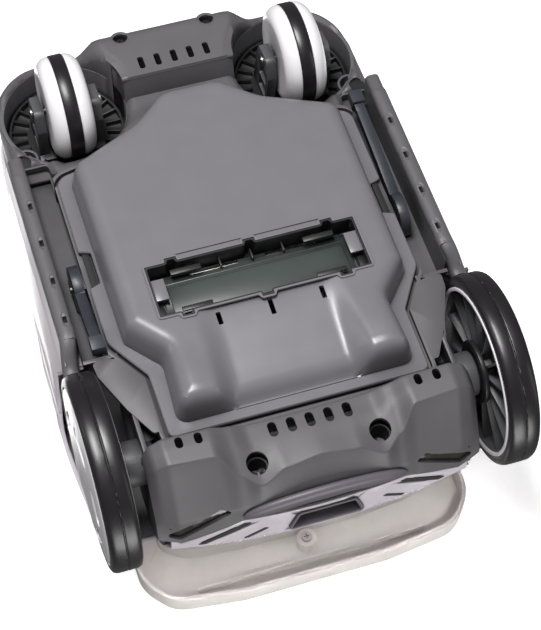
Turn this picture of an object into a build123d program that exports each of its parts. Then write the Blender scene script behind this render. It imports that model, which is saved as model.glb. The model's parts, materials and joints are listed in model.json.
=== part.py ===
"""Free-rolling, water-jet driven pool cleaner, built as separate pieces.

Frame: +Z up in working attitude (wheels on the pool floor), the casters lead towards -Y,
the carrying handle and the jet port are at +Y, and +X is the machine's right side.
The origin is on the floor, under the middle of the whole machine. Millimetres.
"""
import os

from build123d import *

os.makedirs("parts", exist_ok=True)

# ---- driving dimensions -------------------------------------------------------------------
FRONT_Y = -231.5                 # front face of the bumper
WALL = 3.0                       # moulded wall
DECK_Z = 66.0                    # underside of the chassis deck
SPLIT_Z = 110.0                  # joint between chassis and top shell
TOP_Z = 208.0                    # crown of the top shell

WHEEL_R = 75.0                   # rear wheels
WHEEL_X = 153.0
TYRE_W = 24.0
AXLE_Y = 156.5
AXLE_Z = WHEEL_R
AXLE_R = 8.0
HOUSING_R = 17.5
ARCH_R = 81.0
ARCH_X = 119.0                   # inboard wall of the wheel arch

CASTER_R = 42.5                  # front casters
CASTER_X = 98.0
SWIVEL_Y = -167.0
TRAIL = 7.0
CASTER_Y = SWIVEL_Y + TRAIL
CASTER_W = 35.0
TREAD_W = 11.5
WELL_R = 50.5
WELL_TOP = 98.0                  # ceiling of the caster well
STEM_R = 8.0
STEM_TOP = 126.0
FIT = 0.05                       # radial running clearance

PLATEAU_Z = 19.5                 # lowest face of the bottom lid
FLANGE_Z = 45.0                  # underside of the lid's flange
FLANGE_T = 3.0
LID_GAP = 3.0                    # gap between the flange and the chassis
OPEN_X = 83.5                    # half-length of the intake opening
OPEN_Y0, OPEN_Y1 = 28.0, 75.0    # front and rear edge of the intake opening

LATCH_X = 131.5
LATCH_W = 8.0
LATCH_BLOCK_W = 10.5
LATCH_PIVOT_Z = 62.0
LATCH_HUMP_R = 18.0
LATCH_PIN_R = 3.0
LATCHES = {1: (9.0, -104.0, -1), -1: (3.0, 75.5, 1)}   # per side: pivot y, tip y, direction

PUMP_Z = 100.0                   # axis of the motor, impeller and jet duct, along Y
MOTOR_R = 31.0
MOTOR_Y0, MOTOR_Y1 = 24.0, 112.0
DUCT_R = 24.0                    # bore of the jet duct
DUCT_Y0, DUCT_Y1 = 126.0, 184.0

HANDLE_LIP_Z = 205.0
HANDLE_TOP_Z = 228.0


def save(piece, name):
    """Label a finished piece and write it as its node's STEP file."""
    piece.label = name
    export_step(piece, f"parts/{name}.step")


def save_pair(right, name):
    """Write a right-hand piece and its mirror image across the middle plane."""
    save(right, f"{name}_right")
    save(mirror(right, about=Plane.YZ), f"{name}_left")


def mirrored(points):
    """Close a half outline, given from front to rear at +X, with its mirror image."""
    return points + [(-x, y) for x, y in reversed(points)]


def rounded(points, radii):
    """A closed polygon face whose corners take the radii given point by point."""
    with BuildSketch(Plane.XY, mode=Mode.PRIVATE) as face:
        with BuildLine():
            FilletPolyline(*points, radius=radii, close=True)
        make_face()
    return face.sketch


# ---- plan outlines ------------------------------------------------------------------------
BODY_HALF = [(152, -226), (153.5, -112), (155, 68), (119, 70), (119, 200), (95, 204), (60, 213)]
BODY_RADII = [55, 30, 8, 3, 6, 20, 20]
body_face = rounded(mirrored(BODY_HALF), BODY_RADII + BODY_RADII[::-1])
body_inner = offset(body_face, -WALL)

FLANGE_HALF = [(30, -130), (84, -100), (124, -92), (124, 68), (101.5, 104), (101, 160)]
FLANGE_RADII = [3, 40, 12, 4, 4, 4]
flange_face = rounded(mirrored(FLANGE_HALF), FLANGE_RADII + FLANGE_RADII[::-1])
seat_face = offset(flange_face, LID_GAP)
seat_outer = offset(flange_face, LID_GAP + WALL)
ledge_inner = offset(flange_face, -9)


def tray_face(inset):
    """Plan of the lid's raised tray, with concave fronts that clear the caster wheels."""
    with BuildSketch(Plane.XY, mode=Mode.PRIVATE) as face:
        with BuildLine() as outline:
            neck, bay, wide = (22.6, -137.8), (51.9, -112.1), (110.1, -84.8)
            Line((0, -137.8), neck)
            ThreePointArc(neck, bay, wide)
            Polyline(wide, (108.4, 70.5), (85.5, 98.5), (88.0, 150.0), (0, 150.0))
            mirror(outline.line, about=Plane.YZ)
        make_face()
        corners = face.vertices().filter_by(lambda v: abs(v.X) > 1)
        fillet(corners, 4)
    return offset(face.sketch, -inset) if inset else face.sketch


tray_outer = tray_face(0)
tray_inner = tray_face(2.5)
seal_outer = offset(flange_face, -2.5)
seal_inner = offset(flange_face, -7.5)

# ---- outline bodies of the top shell -----------------------------------------------------
SHELL = [  # level, then half outline from front to rear
    (SPLIT_Z, [(152, -226), (169, 30), (170, 214)], [57, 60, 14]),
    (150.0, [(148, -204), (168, 30), (168, 188)], [60, 60, 26]),
    (185.0, [(124, -146), (145, 30), (142, 146)], [56, 60, 40]),
    (TOP_Z, [(80, -88), (96, 30), (92, 98)], [40, 60, 40]),
]


def shell_solid(inset, drop):
    """Smooth body through the shell's outlines, moved in and down."""
    levels = []
    for z, points, radii in SHELL:
        outline = rounded(mirrored(points), radii + radii[::-1])
        outline = offset(outline, -inset) if inset else outline
        z_now = z if z == SPLIT_Z else z - drop
        levels.append(Plane.XY.offset(z_now) * outline)
    return loft(levels)


shell_outer = shell_solid(0, 0)
shell_inner = shell_solid(WALL, WALL)
with BuildPart() as outside_shell:
    # space above the split that lies outside the shell's inner face
    with Locations((0, 140, SPLIT_Z)):
        Box(360, 200, 70, align=(Align.CENTER, Align.CENTER, Align.MIN))
    add(shell_inner, mode=Mode.SUBTRACT)

seat_outer_grown = offset(seat_outer, -1.0)
ARCH_PLATE = [(106, 106), (118, 84), (131, 79.5), (139, 82), (138, 94), (124, 128), (111, 152), (104, 152)]

# ---- chassis ------------------------------------------------------------------------------
BLOCK_X = 55.0                   # half-length of the bumper block
BLOCK_REAR_Y = -168.5
SLOT_PITCH = 13.9
RAIL_X0, RAIL_X1 = 145.0, 157.0
RAIL_Z = 38.0
RAIL_Y0, RAIL_Y1 = -116.0, 74.0
NOTCH_YS = [-66.5, -30.0, 6.5, 43.0]
CORNER_SCREW = (139.0, -134.0)
BUMPER_SCREW = (37.3, -214.0)
REAR_SCREW = (41.8, 199.8)
SCREW_WELL_R = 8.0
CHANNEL_Z = 72.0                 # floor of the side channels that hold the latches
CHANNEL_X0 = 125.5
LEDGE_Z = 51.0                   # the lid's seal presses on this ledge
BODY_END_Y = 216.0

with BuildPart() as chassis:
    # deck with its perimeter wall
    with BuildSketch(Plane.XY.offset(DECK_Z)):
        add(body_face)
    extrude(amount=WALL)
    with BuildSketch(Plane.XY.offset(DECK_Z)):
        add(body_face)
        add(body_inner, mode=Mode.SUBTRACT)
    extrude(amount=SPLIT_Z - DECK_Z)
    # bumper block across the front
    with BuildSketch(Plane.YZ.offset(-BLOCK_X)):
        with BuildLine():
            FilletPolyline((BLOCK_REAR_Y, 72), (BLOCK_REAR_Y, 37), (-216, 38), (FRONT_Y, 58),
                           (FRONT_Y, 98), (-218, 107), (-218, 72), close=True,
                           radius=[0, 2.5, 14, 14, 9, 0, 0])
        make_face()
    extrude(amount=2 * BLOCK_X)
    # side rails, rounded below
    for side in (1, -1):
        with BuildSketch(Plane.XZ.offset(-RAIL_Y1)):
            with BuildLine():
                inner, outer = side * RAIL_X0, side * RAIL_X1
                FilletPolyline((inner, DECK_Z + 9), (inner, RAIL_Z), (outer, RAIL_Z),
                               (outer, DECK_Z + 9), close=True, radius=[0, 4, 5, 0])
            make_face()
        extrude(amount=RAIL_Y1 - RAIL_Y0)
    # wall round the lid's seat, and the caster wells
    with BuildSketch(Plane.XY.offset(FLANGE_Z + 1)):
        add(seat_outer)
    extrude(amount=SPLIT_Z - FLANGE_Z - 6)
    with Locations(*[(s * CASTER_X, SWIVEL_Y, 62) for s in (1, -1)]):
        Cylinder(WELL_R + WALL, WELL_TOP + WALL - 62, align=(Align.CENTER, Align.CENTER, Align.MIN))
    # filter chamber, with the ledge that the lid closes on
    with BuildSketch(Plane.XY.offset(FLANGE_Z - 20)):
        add(seat_face)
    extrude(amount=SPLIT_Z, mode=Mode.SUBTRACT)
    with BuildSketch(Plane.XY.offset(LEDGE_Z)):
        add(seat_outer)
        add(ledge_inner, mode=Mode.SUBTRACT)
    extrude(amount=WALL)
    # wells from below, with the swivel boss above each
    with Locations(*[(s * CASTER_X, SWIVEL_Y, WELL_TOP) for s in (1, -1)]):
        Cylinder(WELL_R, WELL_TOP - 20, align=(Align.CENTER, Align.CENTER, Align.MAX),
                 mode=Mode.SUBTRACT)
        Cylinder(14, STEM_TOP - 4 - WELL_TOP, align=(Align.CENTER, Align.CENTER, Align.MIN))
        Cylinder(STEM_R + FIT, 80, mode=Mode.SUBTRACT)
    # hollow of the bumper block, open at its top
    with BuildSketch(Plane.YZ.offset(WALL - BLOCK_X)):
        with BuildLine():
            Polyline((BLOCK_REAR_Y - 3, 120), (BLOCK_REAR_Y - 3, 40), (-215, 41), (FRONT_Y + 4, 60),
                     (FRONT_Y + 4, 96), (-221, 101), (-221, 120), close=True)
        make_face()
    extrude(amount=2 * (BLOCK_X - WALL), mode=Mode.SUBTRACT)
    # side channels for the latches: the seat wall stops at their floor
    for side in (1, -1):
        with Locations((side * (CHANNEL_X0 + RAIL_X0) / 2, -16, CHANNEL_Z)):
            Box(RAIL_X0 - CHANNEL_X0 + 3, 186, WALL, align=(Align.CENTER, Align.CENTER, Align.MIN))
            Box(RAIL_X0 - CHANNEL_X0, 186, 40, align=(Align.CENTER, Align.CENTER, Align.MAX),
                mode=Mode.SUBTRACT)
        # lug that carries the latch pin's inner end
        with Locations((side * 125.8, LATCHES[side][0], 54)):
            Box(2.0, 14, CHANNEL_Z - 54 + 1, align=(Align.CENTER, Align.CENTER, Align.MIN))
        with Locations((side * 131, LATCHES[side][0], LATCH_PIVOT_Z)):
            Cylinder(LATCH_PIN_R, 12.6, rotation=(0, 90, 0), mode=Mode.SUBTRACT)
        # pocket in the channel's floor that the lever's hump turns in
        with Locations((side * LATCH_X, LATCHES[side][0], LATCH_PIVOT_Z)):
            Cylinder(LATCH_HUMP_R + 0.8, LATCH_W + 1, rotation=(0, 90, 0), mode=Mode.SUBTRACT)
    # slots and screw recesses of the bumper
    with Locations(*[(i * SLOT_PITCH, -181.6, 40) for i in range(-2, 3)]):
        Box(5.0, 12.5, 20, mode=Mode.SUBTRACT)
    with Locations(*[(s * BUMPER_SCREW[0], BUMPER_SCREW[1], 48) for s in (1, -1)]):
        Cylinder(6.5 + 2.5, 14)
        Cylinder(6.5, 30, align=(Align.CENTER, Align.CENTER, Align.MAX), mode=Mode.SUBTRACT)
        Cylinder(2.4, 60, mode=Mode.SUBTRACT)
    # screw wells at the front corners
    with Locations(*[(s * CORNER_SCREW[0], CORNER_SCREW[1], DECK_Z) for s in (1, -1)]):
        Cylinder(SCREW_WELL_R + 2, 16, align=(Align.CENTER, Align.CENTER, Align.MIN))
        Cylinder(SCREW_WELL_R, 13, align=(Align.CENTER, Align.CENTER, Align.MIN), mode=Mode.SUBTRACT)
        Cylinder(2.4, 60, mode=Mode.SUBTRACT)
    with Locations(*[(s * REAR_SCREW[0], REAR_SCREW[1], DECK_Z) for s in (1, -1)]):
        Cylinder(2.4, 20, mode=Mode.SUBTRACT)
    # half-round notches across the lower outer edge of each rail
    with Locations(*[(s * (RAIL_X1 - 3), y, RAIL_Z) for s in (1, -1) for y in NOTCH_YS]):
        Cylinder(6, 6, rotation=(90, 0, 0), mode=Mode.SUBTRACT)
    # wheel arches: inboard wall and the liner over each wheel
    for side in (1, -1):
        with BuildSketch(Plane.YZ.offset(side * ARCH_X)):
            with Locations((AXLE_Y, AXLE_Z)):
                Circle(ARCH_R + WALL)
                with Locations((120, 0)):
                    Rectangle(120.2, 200, mode=Mode.SUBTRACT)
                with Locations((0, -128)):
                    Rectangle(200, 200, mode=Mode.SUBTRACT)
                # the inboard wall ends inside the rear skirt
                with BuildLine():
                    Polyline((165, 20), (165, 62), (186, 62), (203, 90), (208, 112), (240, 112),
                             (240, 20), close=True)
                make_face(mode=Mode.SUBTRACT)
        extrude(amount=side * 46)
        with Locations((side * (ARCH_X + WALL), AXLE_Y, AXLE_Z)):
            Cylinder(ARCH_R, 80, rotation=(0, side * 90, 0), mode=Mode.SUBTRACT,
                     align=(Align.CENTER, Align.CENTER, Align.MIN))
        with Locations((side * ARCH_X, AXLE_Y, AXLE_Z)):
            Cylinder(HOUSING_R - 4, 20, rotation=(0, 90, 0), mode=Mode.SUBTRACT)
    add(outside_shell.part, mode=Mode.SUBTRACT)
    for side in (1, -1):
        # the liner's front foot stays above the side panel's lower edge
        with Locations((side * 156, 80, 48)):
            Box(21.4, 40, 20, mode=Mode.SUBTRACT)
        # plate that joins the lid's seat to the arch
        with BuildSketch(Plane.XY.offset(46)):
            with BuildLine():
                FilletPolyline(*[(side * x, y) for x, y in ARCH_PLATE], close=True,
                               radius=[2, 6, 5, 3, 5, 12, 3, 2])
            make_face()
            add(seat_outer_grown, mode=Mode.SUBTRACT)
        extrude(amount=WALL)
    # openings for the jet duct through the seat wall and the rear wall
    with Locations((0, 160, PUMP_Z)):
        Cylinder(DUCT_R + WALL + 0.5, 26, rotation=(90, 0, 0), mode=Mode.SUBTRACT)
    with Locations((0, 211, 97)):
        Box(68, 16, 30, mode=Mode.SUBTRACT)
save(chassis.part, "chassis")

# ---- rear skirt: faceted underside, one closed section per station across the machine ------
SKIRT = [  # x, then y and z from the front lip, along the underside, up to the fascia
    (0, (168, 54), (168.5, 39), (184, 38.5), (205, 43), (222, 60), (224, 78)),
    (30, (168, 54), (168.5, 39), (184, 38.5), (207, 46), (221.5, 61), (223.5, 78)),
    (48, (168, 54), (168.5, 38.5), (184, 39), (210, 50), (221, 64), (223, 80)),
    (63, (168, 54), (168.5, 36), (182, 36), (200, 46), (219, 66), (222, 80)),
    (76, (168, 54), (168.5, 28), (180, 27.5), (188, 36), (217, 70), (221, 86)),
    (106, (168, 54), (168.5, 26), (178, 26), (187, 31), (213, 76), (218, 104)),
    (126, (168, 60), (168.5, 36), (178, 36), (187, 40), (209, 80), (213.5, 95)),
]


def skirt_section(x, front, lip, mid, crease, low, top):
    """Section of the skirt at x: the outer outline and the same line moved in by the wall."""
    inner = [(top[0] - 3, top[1]), (low[0] - 3, low[1] + 1), (crease[0] - 1, crease[1] + 3),
             (mid[0], mid[1] + 3), (lip[0] + 3, lip[1] + 3), (front[0] + 3, front[1])]
    with BuildSketch(Plane.YZ.offset(x), mode=Mode.PRIVATE) as section:
        with BuildLine():
            Polyline(front, lip, mid, crease, low, top, *inner, close=True)
        make_face()
    return section.sketch


skirt_half = loft([skirt_section(*row) for row in SKIRT], ruled=True)
with BuildPart() as rear_skirt:
    add(skirt_half)
    mirror(about=Plane.YZ)
    for i in range(-2, 3):
        with BuildSketch(Plane.XY.offset(20)):
            with Locations((i * 14.3, 178.5)):
                SlotOverall(12, 7, rotation=90)
        extrude(amount=40, mode=Mode.SUBTRACT)
    with BuildSketch(Plane.XY.offset(10)):
        with Locations(*[(s * x, 176) for s in (1, -1) for x in (84, 98.4)]):
            SlotOverall(9.5, 6, rotation=90)
    extrude(amount=40, mode=Mode.SUBTRACT)
    # screw wells
    with Locations(*[(s * REAR_SCREW[0], REAR_SCREW[1], 48) for s in (1, -1)]):
        Cylinder(SCREW_WELL_R + 2, DECK_Z - 48, align=(Align.CENTER, Align.CENTER, Align.MIN))
        Cylinder(SCREW_WELL_R, 28, mode=Mode.SUBTRACT)
        Cylinder(2.4, 80, mode=Mode.SUBTRACT)
    # window openings in the two rear facets
    for side in (1, -1):
        with BuildSketch(Plane.XZ.offset(-240)):
            with BuildLine():
                FilletPolyline((side * 72, 79), (side * 87, 73), (side * 121, 83), (side * 108, 88),
                               close=True, radius=1.5)
            make_face()
        extrude(amount=60, mode=Mode.SUBTRACT)
        # room for the axle housing
        with Locations((side * ARCH_X, AXLE_Y, AXLE_Z)):
            Cylinder(HOUSING_R + 1, 30, rotation=(0, 90, 0), mode=Mode.SUBTRACT)
save(rear_skirt.part, "rear_skirt")

# ---- rear fascia, jet port, windows and bumper strip ---------------------------------------
FASCIA_Z0, FASCIA_Z1 = 78.0, 114.0
PORT = [(23, 85.5), (31, 109), (-31, 109), (-23, 85.5)]


def port_face(inset):
    """Outline of the jet port, moved in by inset."""
    with BuildSketch(mode=Mode.PRIVATE) as face:
        with BuildLine():
            FilletPolyline(*PORT, close=True, radius=4)
        make_face()
    return offset(face.sketch, -inset) if inset else face.sketch


port_hole = port_face(0)
bezel_outer = port_face(0.1)
bezel_inner = port_face(2.6)

with BuildPart() as rear_fascia:
    for z0, depth, gap, how in ((FASCIA_Z0, FASCIA_Z1 - FASCIA_Z0, 0, Mode.ADD),
                                (FASCIA_Z0, FASCIA_Z1 - FASCIA_Z0 - WALL, WALL, Mode.SUBTRACT)):
        with BuildSketch(Plane.XY.offset(z0)):
            with BuildLine():
                ThreePointArc((-117, 214 - gap), (0, 226 - gap), (117, 214 - gap))
                Polyline((117, 214 - gap), (117, 204), (-117, 204), (-117, 214 - gap))
            make_face()
        extrude(amount=depth, mode=how)
    # lower edge: level in the middle, rising over the two dark facets
    with BuildSketch(Plane.XZ.offset(-240)):
        with BuildLine():
            Polyline((-125, 60), (-125, 90), (-110, 106), (-62, 81.5), (62, 81.5), (110, 106),
                     (125, 90), (125, 60), close=True)
        make_face()
    extrude(amount=50, mode=Mode.SUBTRACT)
    with BuildSketch(Plane.XZ.offset(-250)):
        add(port_hole)
    extrude(amount=40, mode=Mode.SUBTRACT)
    # slanted slits beside the port
    for side in (1, -1):
        with BuildSketch(Plane.XZ.offset(-240)):
            with BuildLine():
                Polyline((side * 52, 87), (side * 70, 89.5), (side * 97, 108), (side * 80, 104),
                         close=True)
            make_face()
        extrude(amount=50, mode=Mode.SUBTRACT)
save(rear_fascia.part, "rear_fascia")

with BuildPart() as jet_bezel:
    with BuildSketch(Plane.XZ.offset(-227.5)):
        add(bezel_outer)
    extrude(amount=19)
    with BuildSketch(Plane.XZ.offset(-227.5)):
        add(bezel_inner)
    extrude(amount=19, mode=Mode.SUBTRACT)
save(jet_bezel.part, "jet_bezel")

with BuildPart() as bumper_strip:
    with BuildSketch(Plane.XZ.offset(-231)) as strip_outline:
        with BuildLine():
            low = ThreePointArc((-63, 72), (0, 62), (63, 72))
            high = ThreePointArc((62, 81), (0, 75), (-62, 81))
            Line(low @ 1, high @ 0)
            Line(high @ 1, low @ 0)
        make_face()
        fillet(strip_outline.vertices(), 3)
    extrude(amount=11)
    add(rear_skirt.part, mode=Mode.SUBTRACT)
    add(rear_fascia.part, mode=Mode.SUBTRACT)
save(bumper_strip.part.solids().sort_by(SortBy.VOLUME)[-1], "bumper_strip")

window_plane = Plane(origin=(96, 214.0, 80), x_dir=(1, -0.10, 0), z_dir=(0.10, 1, -0.2))
with BuildPart() as window:
    with BuildSketch(window_plane):
        with BuildLine():
            FilletPolyline((-23, 1), (-9, 6.6), (24, -2.6), (12, -8), close=True, radius=1.5)
        make_face()
    extrude(amount=-2.5)
    add(rear_skirt.part, mode=Mode.SUBTRACT)
save_pair(window.part, "window")

# ---- top shell and its cover ---------------------------------------------------------------
with BuildPart() as top_shell:
    add(shell_outer)
    add(shell_inner, mode=Mode.SUBTRACT)
    # wheel arches, and the rear edge that the fascia closes
    for side in (1, -1):
        with Locations((side * ARCH_X, AXLE_Y, AXLE_Z)):
            Cylinder(ARCH_R + WALL + 0.3, 80, rotation=(0, side * 90, 0), mode=Mode.SUBTRACT,
                     align=(Align.CENTER, Align.CENTER, Align.MIN))
    with Locations((0, 215, SPLIT_Z)):
        Box(2 * ARCH_X - 1.4, 40, 2 * (FASCIA_Z1 - SPLIT_Z) + 0.6, mode=Mode.SUBTRACT)
    with Locations((0, -40, TOP_Z)):
        Cylinder(8, 30, mode=Mode.SUBTRACT)
save(top_shell.part, "top_shell")

cover_face = rounded(mirrored([(64, -74), (80, 20), (76, 86)]), [34, 60, 34, 34, 60, 34])
with BuildPart() as top_cover:
    with BuildSketch(Plane.XY.offset(TOP_Z)):
        add(cover_face)
    extrude(amount=5)
    fillet(top_cover.faces().sort_by(Axis.Z)[-1].edges(), 2)
    with Locations((0, -40, TOP_Z)):
        Cylinder(8, 30, mode=Mode.SUBTRACT)
save(top_cover.part, "top_cover")

# ---- side panels between the front corner and the wheel arch --------------------------------
def panel_section(y, top_x):
    """Section of the right side panel at y; top_x is where it meets the top shell."""
    outer = [(157.8, 48), (160.8, 60), (top_x - 2.5, 86), (top_x, SPLIT_Z)]
    inner = [(x - WALL, z + 1) for x, z in outer[:0:-1]]
    inner[0] = (top_x - WALL, SPLIT_Z)
    with BuildSketch(Plane.XZ.offset(-y), mode=Mode.PRIVATE) as section:
        with BuildLine():
            Polyline(*outer, *inner, (157.8, 52), close=True)
        make_face()
    return section.sketch


with BuildPart() as side_panel:
    add(loft([panel_section(-118, 161.5), panel_section(-30, 165.5), panel_section(90, 169.4)]))
    with Locations((ARCH_X, AXLE_Y, AXLE_Z)):
        Cylinder(ARCH_R + WALL + 0.3, 80, rotation=(0, 90, 0), mode=Mode.SUBTRACT,
                 align=(Align.CENTER, Align.CENTER, Align.MIN))
save_pair(side_panel.part, "side_panel")

# ---- handle --------------------------------------------------------------------------------
HANDLE_OUT = [(139, 98), (138, 192), (118, 216), (60, 223.5)]
HANDLE_IN = [(50, 176), (95, 172), (112, 160), (113, 98)]
handle_loop = HANDLE_OUT + [(-x, y) for x, y in reversed(HANDLE_OUT)]
handle_loop += [(-x, y) for x, y in reversed(HANDLE_IN)] + HANDLE_IN
handle_radii = [3, 30, 30, 60, 60, 30, 30, 3, 3, 12, 30, 60, 60, 30, 12, 3]
handle_face = rounded(handle_loop, handle_radii)
channel_face = offset(handle_face, -3.2)
HANDLE_SCREW_Y = 190.0
HANDLE_BOSS_Z = 212.0

with BuildPart() as handle:
    with BuildSketch(Plane.XY.offset(HANDLE_LIP_Z)):
        add(handle_face)
    extrude(amount=HANDLE_TOP_Z - HANDLE_LIP_Z)
    fillet(handle.faces().sort_by(Axis.Z)[-1].edges(), 7)
    with BuildSketch(Plane.XY.offset(HANDLE_LIP_Z - 1)):
        add(channel_face)
    extrude(amount=HANDLE_TOP_Z - HANDLE_LIP_Z - 3, mode=Mode.SUBTRACT)
    # feet on the shell's shoulders
    for side in (1, -1):
        with Locations((side * 126, 112, HANDLE_LIP_Z + 8)):
            Box(25.4, 27.6, 40, align=(Align.CENTER, Align.CENTER, Align.MAX))
    # screw boss and stiffening rib inside the channel
    with Locations((0, HANDLE_SCREW_Y, HANDLE_BOSS_Z)):
        Cylinder(8, HANDLE_TOP_Z - 2 - HANDLE_BOSS_Z, align=(Align.CENTER, Align.CENTER, Align.MIN))
        Cylinder(2.0, 30, mode=Mode.SUBTRACT)
    with Locations((0, 205, HANDLE_TOP_Z - 11)):
        Box(190, 2, 9, align=(Align.CENTER, Align.CENTER, Align.MIN))
    add(shell_outer, mode=Mode.SUBTRACT)
save(handle.part, "handle")

with BuildPart() as handle_screw:
    with Locations((0, HANDLE_SCREW_Y, HANDLE_BOSS_Z)):
        Cylinder(4.2, 2.6, align=(Align.CENTER, Align.CENTER, Align.MAX))
        Cylinder(2.0, 11, align=(Align.CENTER, Align.CENTER, Align.MIN))
        with Locations((0, 0, -2.6)):
            Box(4.4, 1.1, 2.4, mode=Mode.SUBTRACT)
            Box(1.1, 4.4, 2.4, mode=Mode.SUBTRACT)
save(handle_screw.part, "handle_screw")

# ---- bottom lid with its seal, intake frame and flap ------------------------------------------
with BuildPart() as bottom_lid:
    with BuildSketch(Plane.XY.offset(PLATEAU_Z)):
        add(tray_outer)
    extrude(amount=FLANGE_Z - PLATEAU_Z)
    fillet(bottom_lid.faces().sort_by(Axis.Z)[0].edges(), 5)
    with BuildSketch(Plane.XY.offset(FLANGE_Z)):
        add(flange_face)
    extrude(amount=FLANGE_T)
    with BuildSketch(Plane.XY.offset(PLATEAU_Z + 2.5)):
        add(tray_inner)
    extrude(amount=40, mode=Mode.SUBTRACT)
    # recesses of the flange where the latches work
    with Locations(*[(s * 121, -1, FLANGE_Z) for s in (1, -1)]):
        Box(12, 30, 20, mode=Mode.SUBTRACT)
    # intake opening and the three small slots behind it
    with Locations((0, (OPEN_Y0 + OPEN_Y1) / 2, PLATEAU_Z)):
        Box(2 * OPEN_X, OPEN_Y1 - OPEN_Y0, 20, mode=Mode.SUBTRACT)
    with Locations(*[(x, 90, PLATEAU_Z) for x in (-40.6, 0, 40.6)]):
        Box(4, 11, 20, mode=Mode.SUBTRACT)
save(bottom_lid.part, "bottom_lid")

with BuildPart() as lid_seal:
    with BuildSketch(Plane.XY.offset(FLANGE_Z + FLANGE_T)):
        add(seal_outer)
        add(seal_inner, mode=Mode.SUBTRACT)
    extrude(amount=LEDGE_Z - FLANGE_Z - FLANGE_T)
save(lid_seal.part, "lid_seal")

FRAME_T = 2.2
FLAP_PIN_Y, FLAP_PIN_Z = 34.0, 35.0
FLAP_PIN_R = 1.5
frame_mid = ((0, (OPEN_Y0 + OPEN_Y1) / 2))
with BuildPart() as intake_frame:
    with Locations((*frame_mid, PLATEAU_Z - 0.6)):
        Box(2 * OPEN_X - 0.2, OPEN_Y1 - OPEN_Y0 - 0.2, 20,
            align=(Align.CENTER, Align.CENTER, Align.MIN))
        Box(2 * (OPEN_X - FRAME_T), OPEN_Y1 - OPEN_Y0 - 2 * FRAME_T, 60, mode=Mode.SUBTRACT)
    # ledge that the flap closes on
    with Locations((*frame_mid, 28)):
        Box(2 * OPEN_X - 1, OPEN_Y1 - OPEN_Y0 - 1, 1.8, align=(Align.CENTER, Align.CENTER, Align.MIN))
        Box(2 * OPEN_X - 20, OPEN_Y1 - OPEN_Y0 - 16, 20, mode=Mode.SUBTRACT)
    # tabs at the short sides, and the clip bars along the long ones
    with Locations(*[(s * (OPEN_X - 7), 53, 21) for s in (1, -1)]):
        Box(12, 22, 2, align=(Align.CENTER, Align.CENTER, Align.MIN))
    with Locations(*[(x, OPEN_Y0 + 5, 22) for x in (-38, 38)]):
        Box(34, 8, 2, align=(Align.CENTER, Align.CENTER, Align.MIN))
    with Locations(*[(x, OPEN_Y1 - 3.5, 22) for x in (-50, 50)]):
        Box(30, 5, 2, align=(Align.CENTER, Align.CENTER, Align.MIN))
    with Locations((0, FLAP_PIN_Y, FLAP_PIN_Z)):
        Cylinder(FLAP_PIN_R, 2 * OPEN_X - 1.6, rotation=(0, 90, 0), mode=Mode.SUBTRACT)
save(intake_frame.part, "intake_frame")

with BuildPart() as flap_pin:
    with Locations((0, FLAP_PIN_Y, FLAP_PIN_Z)):
        Cylinder(FLAP_PIN_R, 2 * OPEN_X - 1.8, rotation=(0, 90, 0))
save(flap_pin.part, "flap_pin")

with BuildPart() as intake_flap:
    with Locations((0, 54.2, 30.3)):
        Box(157, 35.5, 2, align=(Align.CENTER, Align.CENTER, Align.MIN))
        Box(157, 35.5, 3.6, align=(Align.CENTER, Align.CENTER, Align.MIN))
        Box(149, 28, 8, align=(Align.CENTER, Align.CENTER, Align.MIN), mode=Mode.SUBTRACT)
        Box(157, 35.5, 1.6, align=(Align.CENTER, Align.CENTER, Align.MIN))
    with Locations(*[(x, FLAP_PIN_Y, FLAP_PIN_Z) for x in (-60, 0, 60)]):
        Cylinder(3.2, 22, rotation=(0, 90, 0))
        with Locations((0, 2.5, -2.8)):
            Box(22, 5, 3.6)
    with Locations((0, FLAP_PIN_Y, FLAP_PIN_Z)):
        Cylinder(FLAP_PIN_R + FIT, 170, rotation=(0, 90, 0), mode=Mode.SUBTRACT)
save(intake_flap.part, "intake_flap")

# ---- latches -----------------------------------------------------------------------------------
def make_latch(side, name):
    """Lever that presses on the lid's flange: a round hump at the pivot and a long arm."""
    pivot_y, tip, way = LATCHES[side]
    with BuildPart() as latch:
        with BuildSketch(Plane.YZ.offset(side * LATCH_X - LATCH_W / 2)):
            with Locations((pivot_y, LATCH_PIVOT_Z)):
                Circle(LATCH_HUMP_R)
            with Locations((pivot_y, LATCH_PIVOT_Z + LATCH_HUMP_R)):
                Rectangle(60, 2 * LATCH_HUMP_R - 14, mode=Mode.SUBTRACT)
            with BuildLine():
                Polyline((pivot_y + way * 4, 66), (pivot_y + way * 13, 49.5),
                         (pivot_y + way * 45, 46), (tip - way * 20, 41), (tip, 40), (tip, 47),
                         (tip - way * 20, 48), (pivot_y + way * 45, 53.5), (pivot_y + way * 20, 60),
                         close=True)
            make_face()
        extrude(amount=LATCH_W)
        with Locations((side * LATCH_X, tip - way * 6, 42)):
            Box(LATCH_BLOCK_W, 12, 9)
        with Locations((side * LATCH_X, pivot_y, LATCH_PIVOT_Z)):
            Cylinder(LATCH_PIN_R + FIT, 30, rotation=(0, 90, 0), mode=Mode.SUBTRACT)
    save(latch.part, f"latch_{name}")
    with BuildPart() as latch_pin:
        with Locations((side * 131, pivot_y, LATCH_PIVOT_Z)):
            Cylinder(LATCH_PIN_R, 12.4, rotation=(0, 90, 0))
    save(latch_pin.part, f"latch_pin_{name}")


make_latch(1, "right")
make_latch(-1, "left")

# ---- rear wheels --------------------------------------------------------------------------------
TYRE_IN = WHEEL_X - TYRE_W / 2
TYRE_OUT = WHEEL_X + TYRE_W / 2
RIM_R = 67.0
RIBS = 14
axle_axis = Axis((0, AXLE_Y, AXLE_Z), (1, 0, 0))


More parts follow.
